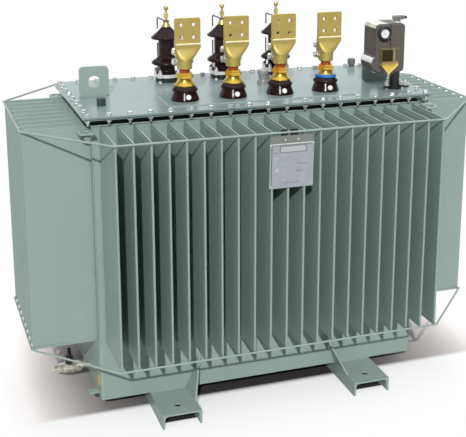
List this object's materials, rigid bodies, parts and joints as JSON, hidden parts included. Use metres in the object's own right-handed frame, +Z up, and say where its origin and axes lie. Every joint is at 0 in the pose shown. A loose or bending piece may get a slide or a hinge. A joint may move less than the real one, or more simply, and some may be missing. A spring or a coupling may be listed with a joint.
{
  "type": "power transformer",
  "caption": "Oil-filled power transformer with a corrugated fin tank on skid channels, brown porcelain bushings, palm connectors and a protection relay on the cover.",
  "frame": {"origin": "on the ground under the middle of the tank", "axes": "+X along the long side towards the relay end, -Y towards the low-voltage side, +Z up"},
  "size_m": [1.914, 1.194, 1.574],
  "materials": {
    "tank_paint": "semi-gloss grey-green paint",
    "cover_paint": "glossy grey-green paint",
    "gasket_rubber": "matt",
    "galvanised_rod": "painted round bar",
    "brown_porcelain": "high gloss",
    "connector_brass": "satin",
    "nut_brass": "polished",
    "copper": "bare copper, satin",
    "neutral_blue": "gloss",
    "black_casting": "satin black",
    "clamp_aluminium": "satin",
    "zinc_steel": "bright zinc",
    "horn_steel": "grey zinc",
    "relay_metal": "polished casting",
    "relay_black": "matt",
    "dial_white": "gloss",
    "clear_cover": "clear",
    "grey_cap": "matt",
    "dark_cap": "matt",
    "plate_aluminium": "brushed",
    "holder_steel": "satin",
    "valve_nickel": "polished nickel",
    "black_plastic": "matt"
  },
  "bodies": {
    "root": {"back_fin_wall": "tank_paint", "base_pan": "tank_paint", "bottom_corner_rods": "galvanised_rod", "bottom_side_rods": "galvanised_rod", "cover": "cover_paint", "cover_gasket": "gasket_rubber", "drain_handle": "black_plastic", "drain_valve": "valve_nickel", "earth_tabs": "tank_paint", "filler_fitting": "zinc_steel", "front_fin_wall": "tank_paint", "hv_bases": "black_casting", "hv_clamp_rings": "clamp_aluminium", "hv_porcelains": "brown_porcelain", "hv_terminals": "nut_brass", "lashing_eyes": "tank_paint", "left_fin_wall": "tank_paint", "left_lifting_lug": "tank_paint", "left_skid": "tank_paint", "lower_horns": "horn_steel", "lv_connectors": "connector_brass", "lv_insert_plate": "cover_paint", "lv_nut_stacks": "nut_brass", "lv_porcelains": "brown_porcelain", "lv_stems": "copper", "nameplate": "plate_aluminium", "nameplate_clips": "black_plastic", "nameplate_holder": "holder_steel", "neutral_ring": "neutral_blue", "pocket_cap": "dark_cap", "rear_cap": "grey_cap", "relay_clamps": "relay_black", "relay_column": "relay_black", "relay_dial_face": "dial_white", "relay_dial_rim": "relay_black", "relay_float": "black_plastic", "relay_housing": "relay_metal", "relay_sight_glass": "clear_cover", "relay_vent": "zinc_steel", "right_fin_wall": "tank_paint", "right_lifting_lug": "tank_paint", "right_skid": "tank_paint", "skid_gussets": "tank_paint", "tank_body": "tank_paint", "top_corner_rods": "galvanised_rod", "top_frame": "tank_paint", "top_side_rods": "galvanised_rod", "upper_horns": "horn_steel"}
  },
  "joints": []
}
